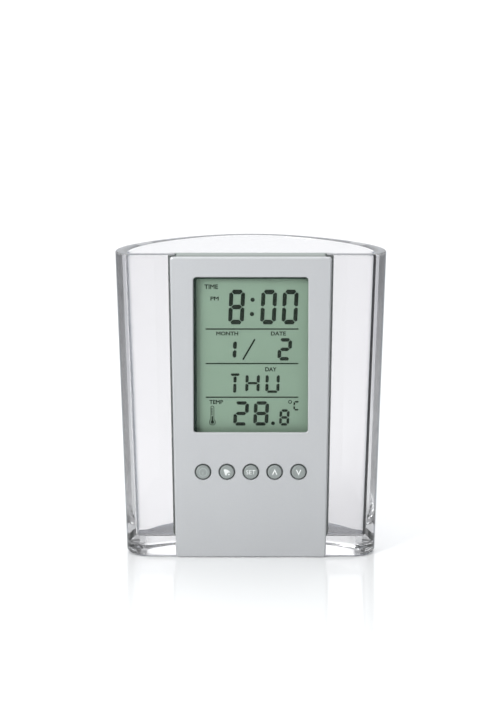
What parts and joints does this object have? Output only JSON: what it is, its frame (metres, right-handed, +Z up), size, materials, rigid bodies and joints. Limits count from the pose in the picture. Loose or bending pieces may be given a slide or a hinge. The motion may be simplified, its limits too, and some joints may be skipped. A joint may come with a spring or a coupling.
{
  "type": "pen holder clock",
  "caption": "Clear pen cup with a flat front and curved back, whose front wall holds a lift-out silver LCD calendar clock with a row of round keys and a sliding battery door.",
  "frame": {"origin": "middle of the whole object's bounding box, on the table it stands on", "axes": "+Z up, -Y the way the display faces, +X to the right of someone who reads the display"},
  "size_m": [0.1, 0.0386, 0.1154],
  "materials": {
    "clear_plastic": "clear polystyrene, moulded glossy",
    "window_plastic": "clear acrylic window",
    "silver_face": "silver painted, fine satin",
    "grey_case": "moulded grey, fine spark texture",
    "key_plastic": "moulded grey-green, satin",
    "polariser_film": "thin film",
    "lcd_glass": "thin float glass",
    "reflector_film": "grey-green reflecting film",
    "white_plastic": "moulded white",
    "contact_rubber": "carbon filled",
    "mat_rubber": "moulded silicone",
    "board_laminate": "glass-fibre laminate with green solder mask",
    "black_epoxy": "cured blob",
    "plated_steel": "nickel plated",
    "cell_steel": "brushed",
    "screw_steel": "zinc plated",
    "buzzer_brass": "rolled sheet",
    "black_insulation": "extruded",
    "red_insulation": "extruded"
  },
  "bodies": {
    "holder": {"holder_cup": "clear_plastic"},
    "clock": {"front_bezel": "silver_face", "rear_shell": "grey_case", "window_lens": "window_plastic", "lcd_front_polariser": "polariser_film", "lcd_front_glass": "lcd_glass", "lcd_rear_glass": "lcd_glass", "lcd_reflector": "reflector_film", "lcd_holder": "white_plastic", "contact_strip": "contact_rubber", "circuit_board": "board_laminate", "driver_chip": "black_epoxy", "clock_crystal": "plated_steel", "temperature_sensor": "black_epoxy", "buzzer_disc": "buzzer_brass", "buzzer_wire_left": "black_insulation", "buzzer_wire_right": "red_insulation", "battery_wire_negative": "black_insulation", "battery_wire_positive": "red_insulation", "key_mat": "mat_rubber", "button_cell_left": "cell_steel", "button_cell_right": "cell_steel", "battery_contact_negative": "plated_steel", "battery_link": "plated_steel", "battery_contact_positive": "plated_steel", "case_screw_1": "screw_steel", "case_screw_2": "screw_steel", "case_screw_3": "screw_steel", "case_screw_4": "screw_steel", "board_screw_1": "screw_steel", "board_screw_2": "screw_steel", "board_screw_3": "screw_steel", "board_screw_4": "screw_steel"},
    "mode_key": {"key_mode": "key_plastic", "key_pill_mode": "contact_rubber"},
    "alarm_key": {"key_alarm": "key_plastic", "key_pill_alarm": "contact_rubber"},
    "set_key": {"key_set": "key_plastic", "key_pill_set": "contact_rubber"},
    "up_key": {"key_up": "key_plastic", "key_pill_up": "contact_rubber"},
    "down_key": {"key_down": "key_plastic", "key_pill_down": "contact_rubber"},
    "cell_door": {"battery_door": "grey_case"}
  },
  "joints": [
    {"name": "clock_lift", "type": "slide", "parent": "holder", "child": "clock", "axis": [0, 0, 1], "range_m": [0, 0.108]},
    {"name": "mode_press", "type": "slide", "parent": "clock", "child": "mode_key", "axis": [0, 1, 0], "range_m": [0, 0.0009], "stiffness_N_per_m": 900},
    {"name": "alarm_press", "type": "slide", "parent": "clock", "child": "alarm_key", "axis": [0, 1, 0], "range_m": [0, 0.0009], "stiffness_N_per_m": 900},
    {"name": "set_press", "type": "slide", "parent": "clock", "child": "set_key", "axis": [0, 1, 0], "range_m": [0, 0.0009], "stiffness_N_per_m": 900},
    {"name": "up_press", "type": "slide", "parent": "clock", "child": "up_key", "axis": [0, 1, 0], "range_m": [0, 0.0009], "stiffness_N_per_m": 900},
    {"name": "down_press", "type": "slide", "parent": "clock", "child": "down_key", "axis": [0, 1, 0], "range_m": [0, 0.0009], "stiffness_N_per_m": 900},
    {"name": "door_slide", "type": "slide", "parent": "clock", "child": "cell_door", "axis": [0, 0, 1], "range_m": [0, 0.0055]}
  ]
}
